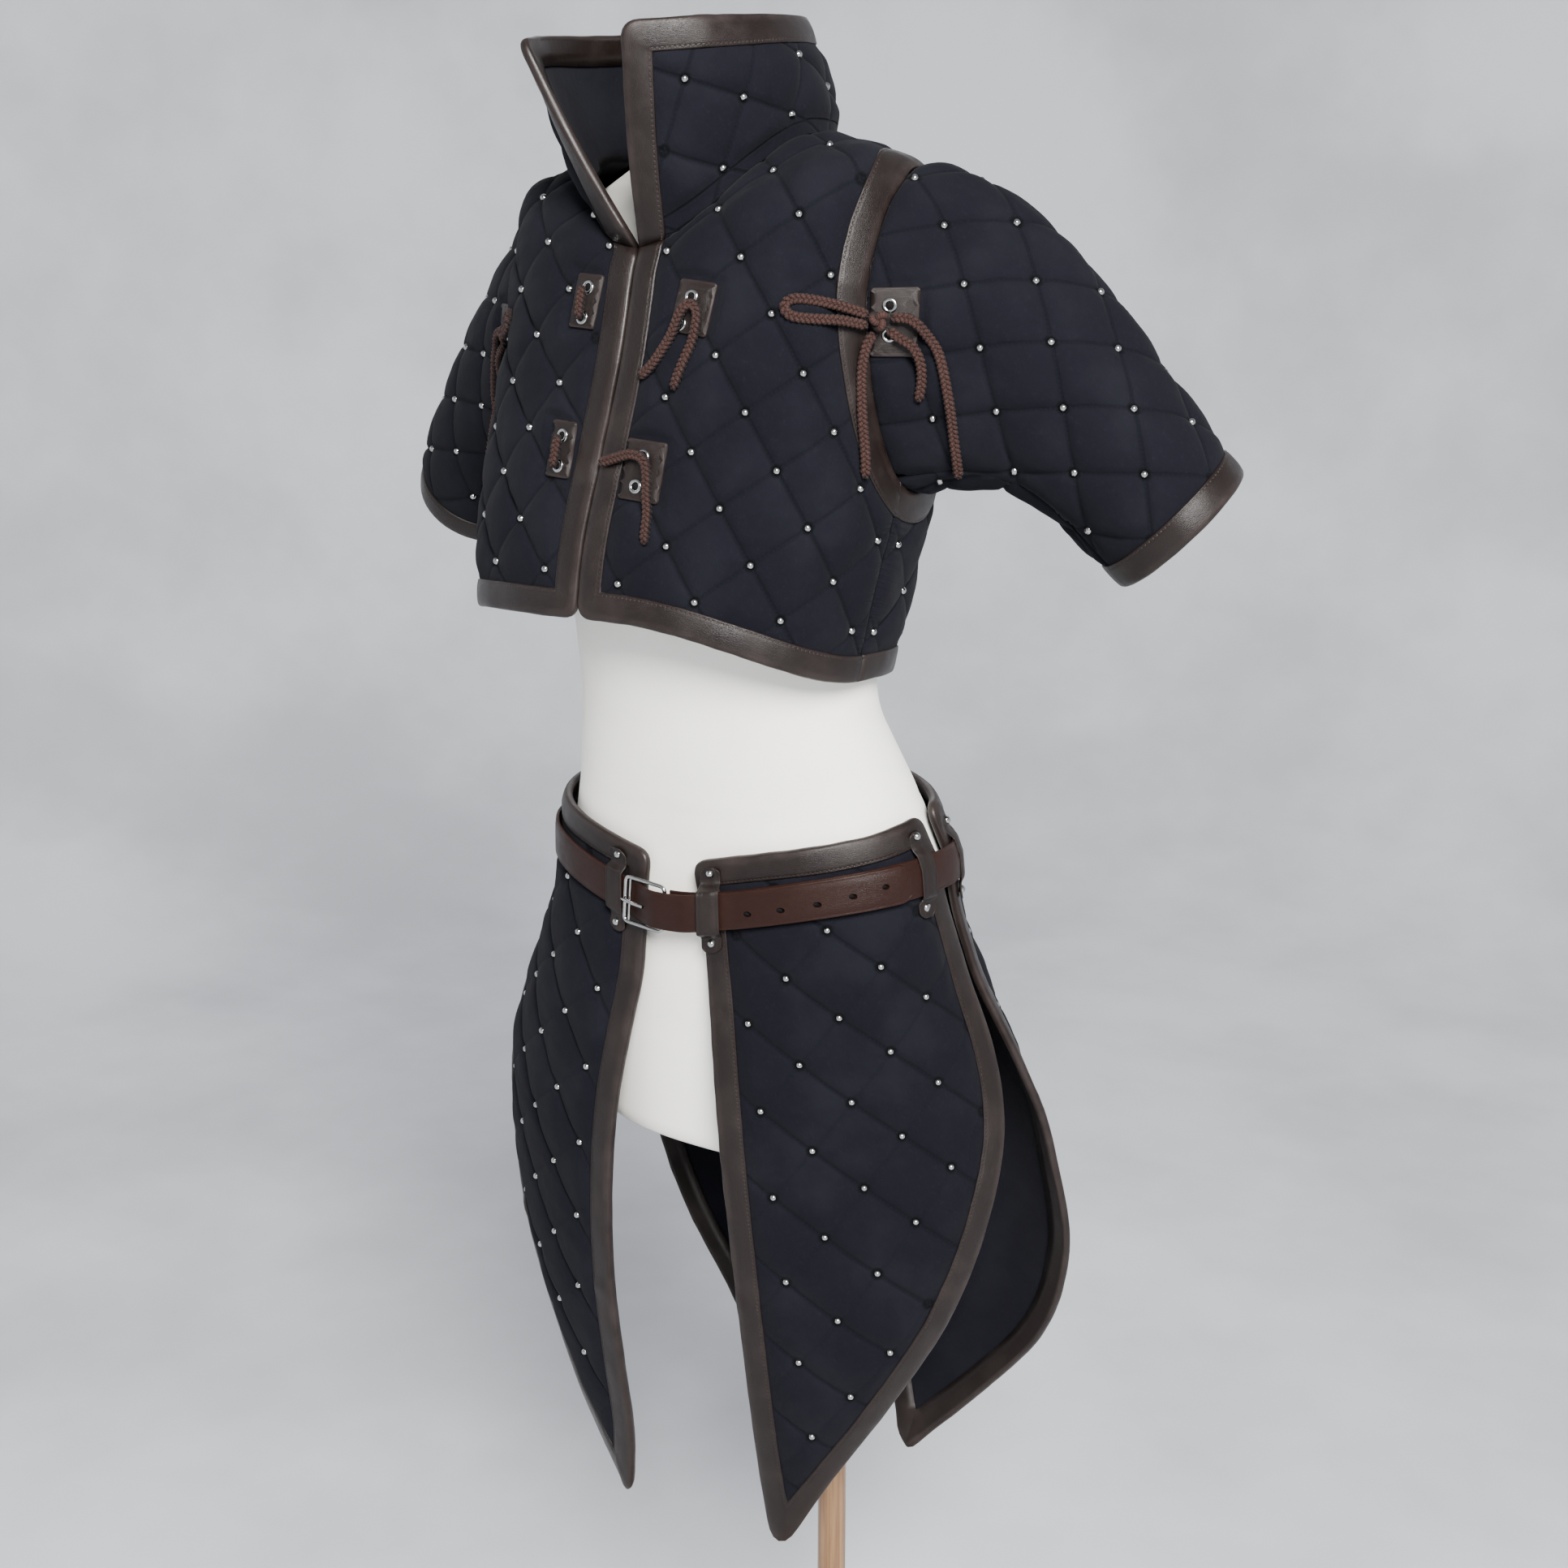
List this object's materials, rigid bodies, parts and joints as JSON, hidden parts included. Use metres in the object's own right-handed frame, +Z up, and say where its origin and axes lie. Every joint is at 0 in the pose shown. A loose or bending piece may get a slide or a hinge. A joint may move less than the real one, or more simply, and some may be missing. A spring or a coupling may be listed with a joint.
{
  "type": "gambeson on a dress form",
  "caption": "Dark quilted cropped gambeson jacket with a tall open collar, short sleeves and a belted pointed-panel skirt, leather bound and studded, on a pale dress form with a wooden stand.",
  "frame": {"origin": "On the flat underside of the round stand base, below the middle of the waist.", "axes": "+X to the wearer's left, -Y to the wearer's front, +Z up."},
  "size_m": [0.7727, 0.4131, 1.5677],
  "materials": {
    "navy_cloth": "matte quilted cotton, very dark blue",
    "dark_leather": "dark chocolate leather with a soft sheen",
    "belt_leather": "red-brown belt leather, smooth",
    "lace_cord": "red-brown twisted cord",
    "silver_metal": "silver-coloured buckle metal",
    "form_cover": "smooth ivory-white cover",
    "pine_wood": "clear-varnished pine"
  },
  "bodies": {
    "root": {"back": "navy_cloth", "belt_loop_back_left": "dark_leather", "belt_loop_back_right": "dark_leather", "belt_loop_front_left": "dark_leather", "belt_loop_front_right": "dark_leather", "belt_loop_rear_left": "dark_leather", "belt_loop_rear_right": "dark_leather", "belt_loop_side_left": "dark_leather", "belt_loop_side_right": "dark_leather", "belt_strap": "belt_leather", "binding_armhole_left": "dark_leather", "binding_armhole_right": "dark_leather", "binding_back_hem": "dark_leather", "binding_collar": "dark_leather", "binding_cuff_left": "dark_leather", "binding_cuff_right": "dark_leather", "binding_front_left": "dark_leather", "binding_front_right": "dark_leather", "binding_skirt_back_left": "dark_leather", "binding_skirt_back_right": "dark_leather", "binding_skirt_front_left": "dark_leather", "binding_skirt_front_right": "dark_leather", "buckle_frame": "silver_metal", "buckle_prong": "silver_metal", "collar": "navy_cloth", "dress_form": "form_cover", "front_left": "navy_cloth", "front_right": "navy_cloth", "lace_left_low": "lace_cord", "lace_left_top": "lace_cord", "lace_right_low": "lace_cord", "lace_right_top": "lace_cord", "patch_left_low": "dark_leather", "patch_left_top": "dark_leather", "patch_right_low": "dark_leather", "patch_right_top": "dark_leather", "patch_sleeve_left": "dark_leather", "patch_sleeve_right": "dark_leather", "skirt_back_left": "navy_cloth", "skirt_back_right": "navy_cloth", "skirt_front_left": "navy_cloth", "skirt_front_right": "navy_cloth", "sleeve_left": "navy_cloth", "sleeve_right": "navy_cloth", "stand_base": "pine_wood", "stand_pole": "pine_wood", "tie_knot_left": "lace_cord", "tie_knot_right": "lace_cord", "tie_left_end_left": "lace_cord", "tie_left_end_right": "lace_cord", "tie_loop_left": "lace_cord", "tie_loop_right": "lace_cord", "tie_right_end_left": "lace_cord", "tie_right_end_right": "lace_cord", "tie_short_end_left": "lace_cord", "tie_short_end_right": "lace_cord"}
  },
  "joints": []
}
